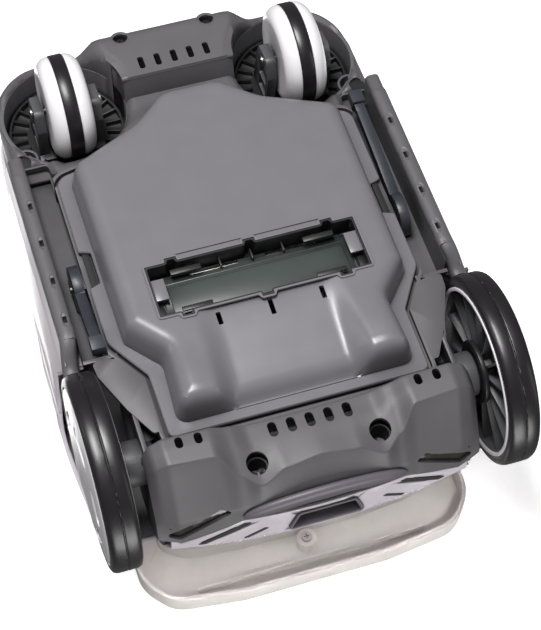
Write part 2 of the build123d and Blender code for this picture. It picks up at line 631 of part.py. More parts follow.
def turned(profile_points):
    """Solid turned about the rear axle from points given as x and radius."""
    with BuildPart(mode=Mode.PRIVATE) as solid:
        with BuildSketch(Plane(origin=(0, AXLE_Y, AXLE_Z), x_dir=(1, 0, 0), z_dir=(0, -1, 0))):
            with BuildLine():
                Polyline(*profile_points, close=True)
            make_face()
        revolve(axis=axle_axis)
    return solid.part


with BuildPart() as rear_tyre:
    add(turned([(TYRE_IN, RIM_R), (TYRE_IN, WHEEL_R - 4), (TYRE_IN + 1.2, WHEEL_R - 1.4),
                (TYRE_IN + 4, WHEEL_R - 0.2), (WHEEL_X - 0.8, WHEEL_R), (WHEEL_X, WHEEL_R - 0.6),
                (WHEEL_X + 0.8, WHEEL_R), (TYRE_OUT - 4, WHEEL_R - 0.2),
                (TYRE_OUT - 1.2, WHEEL_R - 1.4), (TYRE_OUT, WHEEL_R - 4), (TYRE_OUT, RIM_R)]))
save_pair(rear_tyre.part, "rear_tyre")

with BuildPart() as rear_rim:
    add(turned([(TYRE_IN + 1.5, RIM_R - 3), (TYRE_IN + 1.5, RIM_R), (TYRE_OUT - 1.5, RIM_R),
                (TYRE_OUT - 1.5, RIM_R - 3), (WHEEL_X + 1.5, RIM_R - 3), (WHEEL_X + 1.5, 16),
                (TYRE_OUT - 8, 16), (TYRE_OUT - 8, AXLE_R + FIT), (TYRE_IN, AXLE_R + FIT), (TYRE_IN, 16),
                (WHEEL_X - 1, 16), (WHEEL_X - 1, RIM_R - 3)]))
    with Locations(Plane(origin=(WHEEL_X - 4.5, AXLE_Y, AXLE_Z), z_dir=(1, 0, 0))):
        with PolarLocations(0, RIBS):
            with Locations((39.75, 0, 0)):
                Box(48.5, 1.8, 7)
save_pair(rear_rim.part, "rear_rim")

with BuildPart() as wheel_ring:
    add(turned([(TYRE_IN - 0.6, RIM_R - 3.2), (TYRE_IN - 0.6, RIM_R - 0.2), (TYRE_IN + 1.5, RIM_R - 0.2),
                (TYRE_IN + 1.5, RIM_R - 3.2)]))
save_pair(wheel_ring.part, "wheel_ring")

with BuildPart() as hub_ring:
    add(turned([(TYRE_IN - 0.5, 16), (TYRE_IN - 0.5, 25), (TYRE_IN + 3.2, 25), (TYRE_IN + 3.2, 16)]))
save_pair(hub_ring.part, "hub_ring")

with BuildPart() as wheel_cap:
    add(turned([(TYRE_OUT - 1.5, 0), (TYRE_OUT - 1.5, RIM_R - 0.4), (TYRE_OUT + 0.2, RIM_R - 1.4),
                (TYRE_OUT + 2.2, RIM_R - 20), (TYRE_OUT + 3, 0)]))
    with Locations(Plane(origin=(TYRE_OUT, AXLE_Y, AXLE_Z), z_dir=(1, 0, 0))):
        with PolarLocations(0, 6):
            with Locations((44, 0, 0)):
                Cylinder(5.5, 20, mode=Mode.SUBTRACT)
                Box(11, 20, 20, mode=Mode.SUBTRACT)
            with Locations((44, 10, 0), (44, -10, 0)):
                Cylinder(5.5, 20, mode=Mode.SUBTRACT)
save_pair(wheel_cap.part, "wheel_cap")

with BuildPart() as axle_housing:
    add(turned([(ARCH_X - 6, AXLE_R), (ARCH_X - 6, HOUSING_R - 4), (ARCH_X + WALL, HOUSING_R - 4),
                (ARCH_X + WALL, HOUSING_R), (TYRE_IN - 2.2, HOUSING_R), (TYRE_IN - 1.2, HOUSING_R - 1),
                (TYRE_IN - 1.2, AXLE_R)]))
save_pair(axle_housing.part, "axle_housing")

with BuildPart() as axle:
    # the outer end carries the head that keeps the wheel on
    add(turned([(ARCH_X - 9, 0), (ARCH_X - 9, 11), (ARCH_X - 6, 11), (ARCH_X - 6, AXLE_R),
                (TYRE_OUT - 7.6, AXLE_R), (TYRE_OUT - 7.6, 12), (TYRE_OUT - 4, 12),
                (TYRE_OUT - 4, 0)]))
save_pair(axle.part, "axle")

# ---- casters -------------------------------------------------------------------------------------
PIN_R = 3.0
ARM_X0, ARM_X1 = CASTER_W / 2 + 2.0, CASTER_W / 2 + 10.0
TABLE_Z = 89.0
caster_axis = Axis((CASTER_X, CASTER_Y, CASTER_R), (1, 0, 0))
caster_plane = Plane(origin=(CASTER_X, CASTER_Y, CASTER_R), x_dir=(1, 0, 0), z_dir=(0, -1, 0))

with BuildPart() as caster_halves:
    for side in (1, -1):
        near, mid, far = side * TREAD_W / 2, side * 8.0, side * CASTER_W / 2
        with BuildSketch(caster_plane):
            with BuildLine():
                Polyline((far, 29), (far, PIN_R + FIT), (near, PIN_R + FIT), (near, 41.9), (mid, 42.1))
                ThreePointArc((mid, 42.1), (side * 14.8, 38.4), (far, 29))
            make_face()
        revolve(axis=caster_axis)
save_pair(caster_halves.part, "caster_halves")

with BuildPart() as caster_tread:
    with BuildSketch(caster_plane):
        with BuildLine():
            half = TREAD_W / 2 - 0.05
            Polyline((-half, 12), (-half, CASTER_R - 0.5), (-half + 0.8, CASTER_R),
                     (half - 0.8, CASTER_R), (half, CASTER_R - 0.5), (half, 12), close=True)
        make_face()
    revolve(axis=caster_axis)
save_pair(caster_tread.part, "caster_tread")

with BuildPart() as caster_pin:
    with Locations((CASTER_X, CASTER_Y, CASTER_R)):
        Cylinder(PIN_R, 2 * ARM_X1 + 1, rotation=(0, 90, 0))
        with Locations((ARM_X1 + 0.9, 0, 0), (-ARM_X1 - 0.9, 0, 0)):
            Cylinder(4.6, 1.8, rotation=(0, 90, 0))
save_pair(caster_pin.part, "caster_pin")

with BuildPart() as caster_yoke:
    for side in (1, -1):
        with BuildSketch(Plane.YZ.offset(CASTER_X + side * ARM_X0)):
            with BuildLine():
                FilletPolyline((CASTER_Y - 12, 36), (CASTER_Y + 10, 33), (CASTER_Y + 15, 52),
                               (CASTER_Y + 10, TABLE_Z), (SWIVEL_Y - 17, TABLE_Z), (CASTER_Y - 16, 48),
                               close=True, radius=[4, 5, 5, 0, 0, 5])
            make_face()
        extrude(amount=side * (ARM_X1 - ARM_X0))
        # pockets that leave ribs on the outer face
        with BuildSketch(Plane.YZ.offset(CASTER_X + side * ARM_X1)):
            with Locations((CASTER_Y, 60), (CASTER_Y - 1, 77)):
                RectangleRounded(17, 12, 2)
        extrude(amount=-side * 5, mode=Mode.SUBTRACT)
    with Locations((CASTER_X, SWIVEL_Y + 4, TABLE_Z)):
        Box(2 * ARM_X1, 38, 3, align=(Align.CENTER, Align.CENTER, Align.MAX))
    with Locations((CASTER_X, CASTER_Y, CASTER_R)):
        Cylinder(PIN_R, 80, rotation=(0, 90, 0), mode=Mode.SUBTRACT)
save_pair(caster_yoke.part, "caster_yoke")

with BuildPart() as turntable:
    with Locations((CASTER_X, SWIVEL_Y, TABLE_Z)):
        Cylinder(WELL_R - 2.5, 3, align=(Align.CENTER, Align.CENTER, Align.MIN))
        Cylinder(STEM_R, STEM_TOP - TABLE_Z, align=(Align.CENTER, Align.CENTER, Align.MIN))
        with PolarLocations(WELL_R - 10, 24):
            Box(14, 1.6, 5, align=(Align.CENTER, Align.CENTER, Align.MAX))
    with BuildSketch(Plane.XY.offset(TABLE_Z - 6)):
        with Locations((CASTER_X, SWIVEL_Y)):
            Circle(WELL_R - 2.5)
            Circle(WELL_R - 4.5, mode=Mode.SUBTRACT)
    extrude(amount=7)
    # room for the yoke's foot
    with Locations((CASTER_X, SWIVEL_Y + 4, TABLE_Z)):
        Box(2 * ARM_X1 + 0.2, 38.2, 20, align=(Align.CENTER, Align.CENTER, Align.MAX),
            mode=Mode.SUBTRACT)
save_pair(turntable.part, "turntable")

with BuildPart() as swivel_clip:
    with BuildSketch(Plane.XY.offset(STEM_TOP - 3.6)):
        with Locations((CASTER_X, SWIVEL_Y)):
            Circle(STEM_R + 3.5)
            Circle(STEM_R, mode=Mode.SUBTRACT)
    extrude(amount=1.6)
save_pair(swivel_clip.part, "swivel_clip")

# ---- motor, impeller and jet duct ------------------------------------------------------------
pump_axis = Axis((0, 0, PUMP_Z), (0, 1, 0))


def along_pump(radius, y0, y1):
    """Cylinder on the pump's axis from y0 to y1."""
    rod = Cylinder(radius, y1 - y0, rotation=(90, 0, 0), mode=Mode.PRIVATE)
    return Pos(0, (y0 + y1) / 2, PUMP_Z) * rod


with BuildPart() as motor_housing:
    add(along_pump(MOTOR_R, MOTOR_Y0, MOTOR_Y1 - 12))
    fillet(motor_housing.edges().sort_by(Axis.Y)[0], 6)
    with Locations((0, MOTOR_Y0 + 20, PUMP_Z + MOTOR_R - 1)):
        Cylinder(7, 10)
save(motor_housing.part, "motor_housing")

with BuildPart() as motor_end_cap:
    add(along_pump(MOTOR_R, MOTOR_Y1 - 12, MOTOR_Y1 - 4))
    add(along_pump(14, MOTOR_Y1 - 4, MOTOR_Y1))
    add(along_pump(4 + FIT, MOTOR_Y1 - 12, MOTOR_Y1), mode=Mode.SUBTRACT)
save(motor_end_cap.part, "motor_end_cap")

with BuildPart() as motor_shaft:
    add(along_pump(4, MOTOR_Y1 - 11, 150))
save(motor_shaft.part, "motor_shaft")

with BuildPart() as impeller:
    add(along_pump(8, 130, 148))
    with Locations(Plane(origin=(0, 139, PUMP_Z), z_dir=(0, 1, 0))):
        with PolarLocations(0, 4):
            with Locations(Location((14.5, 0, 0), (38, 0, 0))):
                Box(16, 2, 15)
    add(along_pump(4, 120, 160), mode=Mode.SUBTRACT)
save(impeller.part, "impeller")

def nozzle_body(wall):
    """Transition from the round duct to the jet port."""
    with BuildSketch(Plane.XZ.offset(-DUCT_Y1), mode=Mode.PRIVATE) as start:
        with Locations((0, PUMP_Z)):
            Circle(DUCT_R + wall)
    with BuildSketch(Plane.XZ.offset(-207.5), mode=Mode.PRIVATE) as end:
        with Locations((0, 97.2)):
            RectangleRounded(46 + 2 * wall, 18 + 2 * wall, 6)
    return loft([start.sketch, end.sketch])


nozzle_outer = nozzle_body(2.0)
nozzle_inner = nozzle_body(0)
with BuildPart() as jet_duct:
    add(along_pump(DUCT_R + WALL, DUCT_Y0, DUCT_Y1))
    add(nozzle_outer)
    with Locations((0, 174, PUMP_Z - DUCT_R)):
        Box(30, 14, PUMP_Z - DUCT_R - DECK_Z - WALL, align=(Align.CENTER, Align.CENTER, Align.MAX))
    add(along_pump(DUCT_R, DUCT_Y0, DUCT_Y1), mode=Mode.SUBTRACT)
    add(nozzle_inner, mode=Mode.SUBTRACT)
save(jet_duct.part, "jet_duct")

with BuildPart() as motor_bracket:
    add(along_pump(MOTOR_R + 3.5, 84, 96))
    with Locations((0, 90, 105)):
        Box(231.6, 12, 4.5, align=(Align.CENTER, Align.CENTER, Align.MIN))
    add(along_pump(MOTOR_R, 80, 100), mode=Mode.SUBTRACT)
save(motor_bracket.part, "motor_bracket")

# ---- filter, floats, cable gland and screws --------------------------------------------------
with BuildPart() as filter_bag:
    with Locations((0, -34, FLANGE_Z + FLANGE_T)):
        Box(223, 102, 48, align=(Align.CENTER, Align.CENTER, Align.MIN))
        Box(219, 98, 46, align=(Align.CENTER, Align.CENTER, Align.MIN), mode=Mode.SUBTRACT)
save(filter_bag.part, "filter_bag")

with BuildPart() as float_block:
    with Locations((56, -26, 160)):
        Box(44, 76, TOP_Z - WALL - 1 - 160, align=(Align.CENTER, Align.CENTER, Align.MIN))
    fillet(float_block.edges().filter_by(Axis.Z), 12)
save_pair(float_block.part, "float_block")

GLAND_Y = -40.0
with BuildPart() as cable_gland:
    with Locations((0, GLAND_Y, TOP_Z - 10)):
        Cylinder(8, 26, align=(Align.CENTER, Align.CENTER, Align.MIN))
    with BuildSketch(Plane.XY.offset(TOP_Z + 5)):
        with Locations((0, GLAND_Y)):
            RegularPolygon(12, 6)
    extrude(amount=4)
    # the cable's seat, potted at its lower end
    with Locations((0, GLAND_Y, TOP_Z - 7)):
        Cylinder(4, 40, align=(Align.CENTER, Align.CENTER, Align.MIN), mode=Mode.SUBTRACT)
save(cable_gland.part, "cable_gland")

with BuildPart() as gland_nut:
    with BuildSketch(Plane.XY.offset(TOP_Z + 9)):
        with Locations((0, GLAND_Y)):
            Circle(11)
    extrude(amount=8)
    fillet(gland_nut.edges().sort_by(Axis.Z)[-1], 2.4)
    with Locations((0, GLAND_Y, TOP_Z)):
        Cylinder(8, 40, mode=Mode.SUBTRACT)
save(gland_nut.part, "gland_nut")

with BuildPart() as chassis_screws:
    screw_places = [(*CORNER_SCREW, DECK_Z + 13), (*BUMPER_SCREW, 48), (*REAR_SCREW, 62)]
    with Locations(*[(s * x, y, z) for x, y, z in screw_places for s in (1, -1)]):
        Cylinder(4.6, 2.8, align=(Align.CENTER, Align.CENTER, Align.MAX))
        Cylinder(2.4, 10, align=(Align.CENTER, Align.CENTER, Align.MIN))
        with Locations((0, 0, -2.8)):
            Box(5, 1.2, 2.4, mode=Mode.SUBTRACT)
            Box(1.2, 5, 2.4, mode=Mode.SUBTRACT)
save(chassis_screws.part, "chassis_screws")
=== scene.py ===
"""Looks of the pool cleaner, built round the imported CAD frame."""
import json
import math

import bmesh
import bpy
import numpy as np
from mathutils import Matrix, Vector
from mathutils.geometry import delaunay_2d_cdt


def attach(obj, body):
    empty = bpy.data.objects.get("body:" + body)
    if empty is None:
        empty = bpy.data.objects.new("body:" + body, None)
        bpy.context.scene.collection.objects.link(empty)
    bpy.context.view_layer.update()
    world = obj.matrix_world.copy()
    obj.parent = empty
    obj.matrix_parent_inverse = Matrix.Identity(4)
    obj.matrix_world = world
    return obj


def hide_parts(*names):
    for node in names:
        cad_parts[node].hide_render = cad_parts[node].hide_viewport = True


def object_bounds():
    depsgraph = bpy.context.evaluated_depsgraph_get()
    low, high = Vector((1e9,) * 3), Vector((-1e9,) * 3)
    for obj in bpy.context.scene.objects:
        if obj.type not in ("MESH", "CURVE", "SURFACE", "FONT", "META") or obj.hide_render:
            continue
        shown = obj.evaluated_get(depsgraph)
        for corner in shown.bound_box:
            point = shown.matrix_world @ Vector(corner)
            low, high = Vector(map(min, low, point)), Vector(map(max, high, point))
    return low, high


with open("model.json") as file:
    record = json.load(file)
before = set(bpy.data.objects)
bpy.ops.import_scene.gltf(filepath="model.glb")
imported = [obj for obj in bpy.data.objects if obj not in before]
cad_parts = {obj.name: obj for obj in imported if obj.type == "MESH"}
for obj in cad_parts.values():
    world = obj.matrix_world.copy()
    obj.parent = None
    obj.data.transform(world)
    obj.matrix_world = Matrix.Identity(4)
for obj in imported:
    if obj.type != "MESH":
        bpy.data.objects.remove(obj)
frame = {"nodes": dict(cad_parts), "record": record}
cad_box = [list(map(float, p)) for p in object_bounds()]
NODES = frame["nodes"]
MM = 0.001

# ---- camera ----------------------------------------------------------------------------------
YAW, PITCH, ROLL = 0.336, 1.001, -0.359
forward = Vector((math.sin(YAW) * math.cos(PITCH), -math.cos(YAW) * math.cos(PITCH), math.sin(PITCH)))
right0 = forward.cross(Vector((0, -1, 0))).normalized()
up0 = right0.cross(forward)
view_right = math.cos(ROLL) * right0 + math.sin(ROLL) * up0
view_up = -math.sin(ROLL) * right0 + math.cos(ROLL) * up0
cam_data = bpy.data.cameras.new("camera")
cam_data.lens = 106.23
cam_data.sensor_width = 36
cam_data.clip_start, cam_data.clip_end = 0.05, 50
camera = bpy.data.objects.new("camera", cam_data)
bpy.context.scene.collection.objects.link(camera)
axes = Matrix((view_right, view_up, -forward)).transposed().to_4x4()
camera.matrix_world = Matrix.Translation((-0.2500, 0.7991, -1.1440)) @ axes
bpy.context.scene.camera = camera
bpy.context.scene.view_settings.view_transform = "Standard"
bpy.context.scene.view_settings.look = "None"


# ---- materials ---------------------------------------------------------------------------------
def shader(name):
    """New node material: the material, its node tree and its Principled shader."""
    mat = bpy.data.materials.new(name)
    mat.use_nodes = True
    return mat, mat.node_tree, mat.node_tree.nodes["Principled BSDF"]


def plastic(name, color, rough=0.45, grain=0.10, grain_scale=1400, spread=0.06, coat=0.0, spec=0.5,
            mottle=45, crevice_shade=0.28):
    """Moulded plastic: fine grain in the bump, slow drift in colour and gloss, painted shade in crevices."""
    mat, tree, bsdf = shader(name)
    nodes, links = tree.nodes, tree.links
    coords = nodes.new("ShaderNodeTexCoord")
    drift = nodes.new("ShaderNodeTexNoise")
    drift.inputs["Scale"].default_value = mottle
    drift.inputs["Detail"].default_value = 5
    links.new(coords.outputs["Object"], drift.inputs["Vector"])
    ramp = nodes.new("ShaderNodeValToRGB")
    ramp.color_ramp.elements[0].position = 0.3
    ramp.color_ramp.elements[1].position = 0.72
    ramp.color_ramp.elements[0].color = (*[c * (1 - spread) for c in color], 1)
    ramp.color_ramp.elements[1].color = (*[min(1, c * (1 + spread)) for c in color], 1)
    links.new(drift.outputs["Fac"], ramp.inputs["Fac"])
    # painted shade: an AO node darkens the base colour in crevices and near other parts
    cavity = nodes.new("ShaderNodeAmbientOcclusion")
    cavity.samples = 6
    cavity.inputs["Distance"].default_value = 0.028
    shade = nodes.new("ShaderNodeMapRange")
    shade.inputs["From Min"].default_value = 0.25
    shade.inputs["From Max"].default_value = 0.82
    shade.inputs["To Min"].default_value = crevice_shade
    links.new(cavity.outputs["AO"], shade.inputs["Value"])
    darker = nodes.new("ShaderNodeVectorMath")
    darker.operation = "SCALE"
    links.new(ramp.outputs["Color"], darker.inputs[0])
    links.new(shade.outputs["Result"], darker.inputs["Scale"])
    links.new(darker.outputs["Vector"], bsdf.inputs["Base Color"])
    gloss = nodes.new("ShaderNodeMapRange")
    gloss.inputs["To Min"].default_value = rough - 0.05
    gloss.inputs["To Max"].default_value = rough + 0.06
    links.new(drift.outputs["Fac"], gloss.inputs["Value"])
    links.new(gloss.outputs["Result"], bsdf.inputs["Roughness"])
    fine = nodes.new("ShaderNodeTexNoise")
    fine.inputs["Scale"].default_value = grain_scale
    fine.inputs["Detail"].default_value = 2
    links.new(coords.outputs["Object"], fine.inputs["Vector"])
    bump = nodes.new("ShaderNodeBump")
    bump.inputs["Strength"].default_value = grain
    bump.inputs["Distance"].default_value = 0.0004
    links.new(fine.outputs["Fac"], bump.inputs["Height"])
    links.new(bump.outputs["Normal"], bsdf.inputs["Normal"])
    bsdf.inputs["Specular IOR Level"].default_value = spec
    bsdf.inputs["Coat Weight"].default_value = coat
    bsdf.inputs["Coat Roughness"].default_value = 0.25
    return mat


def srgb(r, g, b):
    return tuple(((c / 255 + 0.055) / 1.055) ** 2.4 if c > 10 else c / 255 / 12.92 for c in (r, g, b))


LOOK = {
    "lid_grey": plastic("lid_grey", srgb(114, 111, 116), 0.33, grain=0.05, coat=0.15, spread=0.02),
    "chassis_grey": plastic("chassis_grey", srgb(92, 90, 93), 0.46, grain=0.16, spread=0.03),
    "skirt_grey": plastic("skirt_grey", srgb(86, 84, 86), 0.48, grain=0.22, grain_scale=1100, spread=0.03),
    "shell_white": plastic("shell_white", srgb(222, 214, 222),
                           0.34, grain=0.03, spread=0.02, coat=0.15, crevice_shade=0.6),
    "cover_grey": plastic("cover_grey", srgb(120, 118, 122), 0.42, grain=0.12),
    "handle_grey": plastic("handle_grey", srgb(216, 211, 206), 0.45, grain=0.12, spread=0.03, crevice_shade=0.8),
    "black_plastic": plastic("black_plastic", srgb(34, 34, 36), 0.42, grain=0.10),
    "flap_green_grey": plastic("flap_green_grey", srgb(66, 72, 70), 0.35, grain=0.05, spread=0.03),
    "smoked_lens": plastic("smoked_lens", srgb(38, 28, 20), 0.2, grain=0.0, spread=0.3, coat=0.3),
    "strip_grey": plastic("strip_grey", srgb(98, 92, 100), 0.45, grain=0.08),
    "steel": plastic("steel", srgb(190, 188, 184), 0.3, grain=0.05),
    "latch_blue_grey": plastic("latch_blue_grey", srgb(50, 53, 60), 0.4, grain=0.08),
    "tyre_black": plastic("tyre_black", srgb(27, 24, 27), 0.34, grain=0.12, grain_scale=700, coat=0.1),
    "rim_grey": plastic("rim_grey", srgb(84, 84, 87), 0.45, grain=0.10),
    "wheel_white": plastic("wheel_white", srgb(238, 235, 238),
                           0.3, grain=0.03, spread=0.015, coat=0.2, crevice_shade=0.6),
    "motor_case": plastic("motor_case", srgb(80, 80, 82), 0.4),
    "bracket_grey": plastic("bracket_grey", srgb(110, 110, 112), 0.45),
    "seal_rubber": plastic("seal_rubber", srgb(30, 30, 30), 0.65),
    "filter_fabric": plastic("filter_fabric", srgb(222, 222, 216), 0.9, grain=0.5, grain_scale=900),
    "float_foam": plastic("float_foam", srgb(228, 228, 222), 0.8, grain=0.5, grain_scale=500),
}
LOOK["steel"].node_tree.nodes["Principled BSDF"].inputs["Metallic"].default_value = 1.0

LOOK["screw_dark"] = plastic("screw_dark", srgb(46, 46, 48), 0.35, grain=0.05)
slot_of = {s["node"]: s["material_slot"] for s in frame["record"]["subparts"]}
for node, obj in NODES.items():
    obj.data.materials.clear()
    obj.data.materials.append(LOOK[slot_of[node]])
    for poly in obj.data.polygons:
        poly.use_smooth = True
    weld = obj.modifiers.new("weld", "WELD")
    weld.merge_threshold = 2e-5
    edge = obj.modifiers.new("edge", "BEVEL")
    edge.width = 0.5 * MM
    edge.segments = 2
    edge.limit_method = "ANGLE"
    edge.angle_limit = math.radians(38)
    edge.harden_normals = True


# ---- mesh helpers ---------------------------------------------------------------------------------
def ramp(a, b, v):
    """0 below a, 1 above b, smooth between."""
    t = max(0.0, min(1.0, (v - a) / (b - a)))
    return t * t * (3 - 2 * t)


def rounded(points, radii, step=1.5):
    """Closed outline in mm with each corner rounded to its radius, as evenly spaced points."""
    out = []
    n = len(points)
    for i, r in enumerate(radii):
        p, c, q = Vector(points[i - 1]), Vector(points[i]), Vector(points[(i + 1) % n])
        u, v = (p - c).normalized(), (q - c).normalized()
        half = math.acos(max(-1, min(1, u.dot(v)))) / 2
        if r <= 0 or abs(half - math.pi / 2) < 0.01:
            out.append(c)
            continue
        back = min(r / math.tan(half), 0.49 * (p - c).length, 0.49 * (q - c).length)
        r = back * math.tan(half)
        mid = c + (u + v).normalized() * (r / math.sin(half))
        a, b = c + u * back - mid, c + v * back - mid
        turn = a.angle_signed(b)
        count = max(2, int(abs(turn) * r / step))
        for k in range(count + 1):
            w = Matrix.Rotation(-turn * k / count, 2)
            out.append(mid + w @ a)
    even = []
    for p, q in zip(out, out[1:] + out[:1]):
        count = max(1, int((q - p).length / step))
        even += [p + (q - p) * k / count for k in range(count)]
    return even


def both(half):
    """Whole outline from its right half, listed from front to rear."""
    return list(half) + [(-x, y) for x, y in reversed(half)]


def shifted(outline, d):
    """Outline moved inward by d (outward if negative), without the points that fold over."""
    n = len(outline)
    area2 = sum(p.x * q.y - q.x * p.y for p, q in zip(outline, outline[1:] + outline[:1]))
    sign = 1 if area2 > 0 else -1
    moved = []
    for i in range(n):
        t = (outline[(i + 1) % n] - outline[i - 1]).normalized()
        moved.append(outline[i] + Vector((-t.y, t.x)) * sign * d)
    keep = []
    for p in moved:
        near = min((p - q).length_squared for q in outline)
        if near > (abs(d) * 0.985) ** 2:
            keep.append(p)
    return keep


def make(name, verts, faces, body, material, slot, smooth=35, scale=MM):
    mesh = bpy.data.meshes.new(name)
    mesh.from_pydata([tuple(c * scale for c in v) for v in verts], [], faces)
    mesh.validate()
    obj = bpy.data.objects.new(name, mesh)
    bpy.context.scene.collection.objects.link(obj)
    bm = bmesh.new()
    bm.from_mesh(mesh)
    bmesh.ops.remove_doubles(bm, verts=bm.verts, dist=1e-6)
    bmesh.ops.recalc_face_normals(bm, faces=bm.faces)
    bm.to_mesh(mesh)
    bm.free()
    mesh.materials.append(material)
    if smooth:
        mesh.shade_smooth()
        mesh.set_sharp_from_angle(angle=math.radians(smooth))
    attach(obj, body)
    return obj


def terrain(outline, holes, loops, spacing, height):
    """Triangulated sheet inside outline: points along inner loops and on a grid; height gives z."""
    pts, edges = [], []
    for ring in [outline] + holes:
        base = len(pts)
        pts += [Vector(p) for p in ring]
        edges += [(base + i, base + (i + 1) % len(ring)) for i in range(len(ring))]
    rim = np.array([tuple(p) for p in outline])
    deepest = 0.0
    for d in loops:
        pts += shifted(outline, d)
        deepest = max(deepest, d)
    walls = np.array([tuple(p) for ring in holes for p in ring]) if holes else None
    xs = np.arange(rim[:, 0].min(), rim[:, 0].max(), spacing)
    ys = np.arange(rim[:, 1].min(), rim[:, 1].max(), spacing)
    for x in xs:
        for y in ys:
            near = ((rim - (x, y)) ** 2).sum(1).min()
            if near < (deepest + spacing * 0.5) ** 2:
                continue
            if walls is not None and ((walls - (x, y)) ** 2).sum(1).min() < (spacing * 0.45) ** 2:
                continue
            pts.append(Vector((x, y)))
    verts, _, faces, *_ = delaunay_2d_cdt(pts, edges, [], 0, 1e-5)

    def inside(p, ring):
        hit = False
        for a, b in zip(ring, ring[1:] + ring[:1]):
            if (a[1] > p[1]) != (b[1] > p[1]) and p[0] < (b[0] - a[0]) * (p[1] - a[1]) / (b[1] - a[1]) + a[0]:
                hit = not hit
        return hit
    kept = []
    for f in faces:
        c = sum((verts[i] for i in f), Vector((0, 0))) / len(f)
        if inside(c, outline) and not any(inside(c, h) for h in holes):
            kept.append(list(f))
    used = sorted({i for f in kept for i in f})
    place = {old: new for new, old in enumerate(used)}
    out = []
    for i in used:
        v = verts[i]
        d = math.sqrt(((rim - (v.x, v.y)) ** 2).sum(1).min())
        out.append((v.x, v.y, height(v.x, v.y, d)))
    return out, [[place[i] for i in f] for f in kept]


def rim_edges(faces):
    """Boundary edges of a sheet, in the order of their faces."""
    seen = {}
    for f in faces:
        for a, b in zip(f, f[1:] + f[:1]):
            seen[(a, b)] = seen.get((a, b), 0) + 1
    return [(a, b) for a, b in seen if (b, a) not in seen]


def thick(verts, faces, drop):
    """Closes a sheet into a solid: a copy moved by drop(x, y, z) and walls between the rims."""
    n = len(verts)
    verts = verts + [drop(*v) for v in verts]
    out = [list(f) for f in faces] + [[i + n for i in reversed(f)] for f in faces]
    for a, b in rim_edges(faces):
        out.append([b, a, a + n, b + n])
    return verts, out


def block(low, high, r=0.6):
    """Vertices and faces of a box with bevelled edges, in mm."""
    bm = bmesh.new()
    bmesh.ops.create_cube(bm, size=1.0)
    for v in bm.verts:
        v.co = Vector([(l + h) / 2 + c * (h - l) for l, h, c in zip(low, high, v.co)])
    bmesh.ops.bevel(bm, geom=list(bm.edges), offset=r, segments=2, affect="EDGES", profile=0.5)
    verts = [tuple(v.co) for v in bm.verts]
    faces = [[v.index for v in f.verts] for f in bm.faces]
    bm.free()
    return verts, faces


def joined(parts):
    verts, faces = [], []
    for v, f in parts:
        base = len(verts)
        verts += list(v)
        faces += [[i + base for i in g] for g in f]
    return verts, faces


def prism_z(outline, z0, z1):
    n = len(outline)
    verts = [(p[0], p[1], z0) for p in outline] + [(p[0], p[1], z1) for p in outline]
    faces = [list(range(n)), [i + n for i in reversed(range(n))]]
    faces += [[i, (i + 1) % n, (i + 1) % n + n, i + n] for i in range(n)]
    return verts, faces


# ---- bottom lid ---------------------------------------------------------------------------------------
LID_TOP, LID_FOOT = 19.5, 45.0
FOOT_HALF = [(25.0, -140.5), (54, -115), (113.2, -88.5), (112.4, 73), (89.5, 100), (92.5, 151.5)]
foot = rounded(both(FOOT_HALF), [22, 44, 16, 7, 9, 9, 9, 9, 7, 16, 44, 22], 2.0)
EDGE = [(0, LID_FOOT), (1.2, 38.5), (2.4, 32.0), (3.6, 27.4), (5.2, 24.0), (7.4, 21.6), (10.5, 20.1), (14.5, 19.5)]


def edge_height(d):
    for (d0, z0), (d1, z1) in zip(EDGE, EDGE[1:]):
        if d <= d1:
            return z0 + (z1 - z0) * (d - d0) / (d1 - d0)
    return LID_TOP


def lid_height(x, y, d):
    z = edge_height(d)
    # middle panel behind the intake, lower than the humps at its sides, rolling over at the rear
    across = 1 - ramp(41, 60, abs(x) - 0.03 * (y - 80))
    deep = (3.0 + 8.5 * ramp(74, 140, y)) * ramp(66, 74.6, y) * across
    deep += ramp(112, 150, y) ** 2 * 6 * across
    # the humps swell a little towards the rear
    hump = math.exp(-((abs(x) - 74) / 13) ** 2) * ramp(92, 130, y) * ramp(0, 9, d) * 2.2
    return min(z + deep * ramp(-2, 5, d) - hump, LID_FOOT)


def notched():
    """Outline of the intake opening, with three notches on each long side."""
    pts = []
    for cx in (-62, 0, 62):
        pts += [(cx - 4.8, 28), (cx - 4.8, 24.2), (cx + 4.8, 24.2), (cx + 4.8, 28)]
    pts.append((83.2, 28))
    pts.append((83.2, 74.5))
    for cx in (62, 0, -62):
        pts += [(cx + 4.8, 74.5), (cx + 4.8, 78.4), (cx - 4.8, 78.4), (cx - 4.8, 74.5)]
    pts += [(-83.2, 74.5), (-83.2, 28)]
    return pts


opening = rounded(notched(), [0.8] * 28, 2.0)
slots = [rounded([(x - 1.9, 79.5), (x + 1.9, 79.5), (x + 1.9, y1), (x - 1.9, y1)], [0.8] * 4, 1.0)
         for x, y1 in ((-40.6, 90), (0, 92.4), (40.6, 90))]
sheet = terrain(foot, [opening] + slots, [d for d, z in EDGE[1:]], 3.0, lid_height)
verts, faces = thick(*sheet, lambda x, y, z: (x, y, min(z + 2.4, 47.5)))
FLANGE = both([(30, -130), (84, -100), (124, -92), (124, -18.5), (114.8, -15.5), (114.8, 13.5), (124, 17),
               (124, 68), (101.5, 104), (101, 160)])
flange = rounded(FLANGE, [3, 40, 12, 2, 1, 1, 2, 10, 6, 5, 5, 6, 10, 2, 1, 1, 2, 12, 40, 3], 2.5)
inner = shifted(foot, 0.6)
ring = terrain(flange, [inner], [0.8, 1.8], 60.0, lambda x, y, d: LID_FOOT + 0.9 * max(0, 1 - d / 0.9) ** 2)
ring = thick(*ring, lambda x, y, z: (x, y, 47.9))
